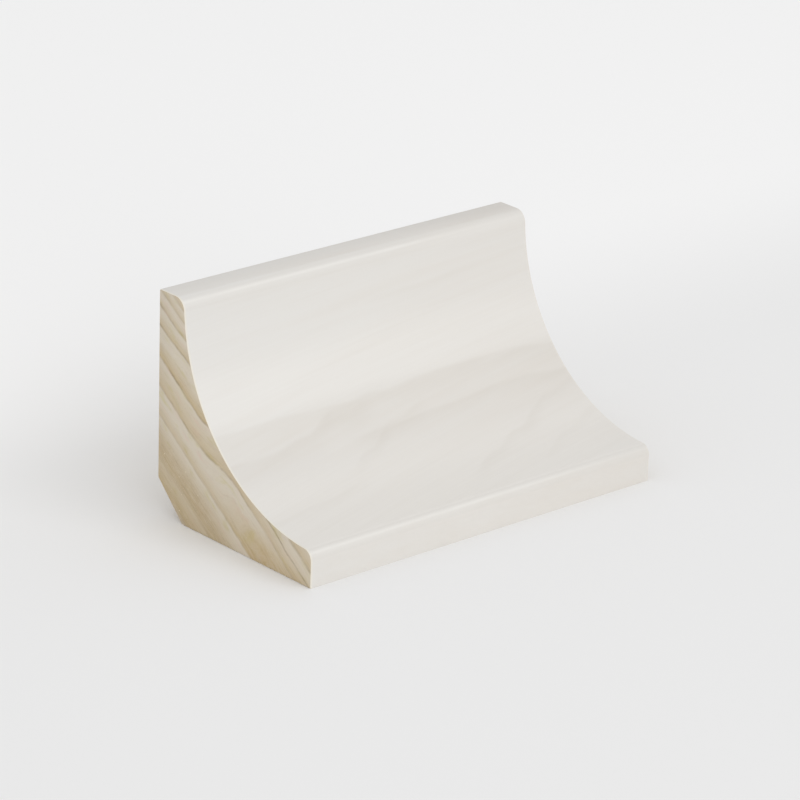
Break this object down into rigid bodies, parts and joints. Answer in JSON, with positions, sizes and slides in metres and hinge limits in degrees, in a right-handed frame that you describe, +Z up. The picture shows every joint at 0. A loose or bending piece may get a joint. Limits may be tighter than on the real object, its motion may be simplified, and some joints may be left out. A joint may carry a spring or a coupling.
{
  "type": "scotia moulding",
  "caption": "Straight length of white-glazed timber scotia moulding: a square section with a hollow cove along its front, which covers the joint between two surfaces at a right angle.",
  "frame": {"origin": "centre of the bounding box's bottom: midway along the length and across the depth, at the bottom face", "axes": "+X along the length, +Y towards the wall face at the back, +Z up; the cove and nose face -Y"},
  "size_m": [0.082, 0.043, 0.043],
  "materials": {
    "glazed_softwood": "satin white glaze with the grain showing faintly on the top, cove and nose; bare sawn softwood on the ends, back, bottom and chamfer"
  },
  "bodies": {
    "root": {"scotia_moulding": "glazed_softwood"}
  },
  "joints": []
}
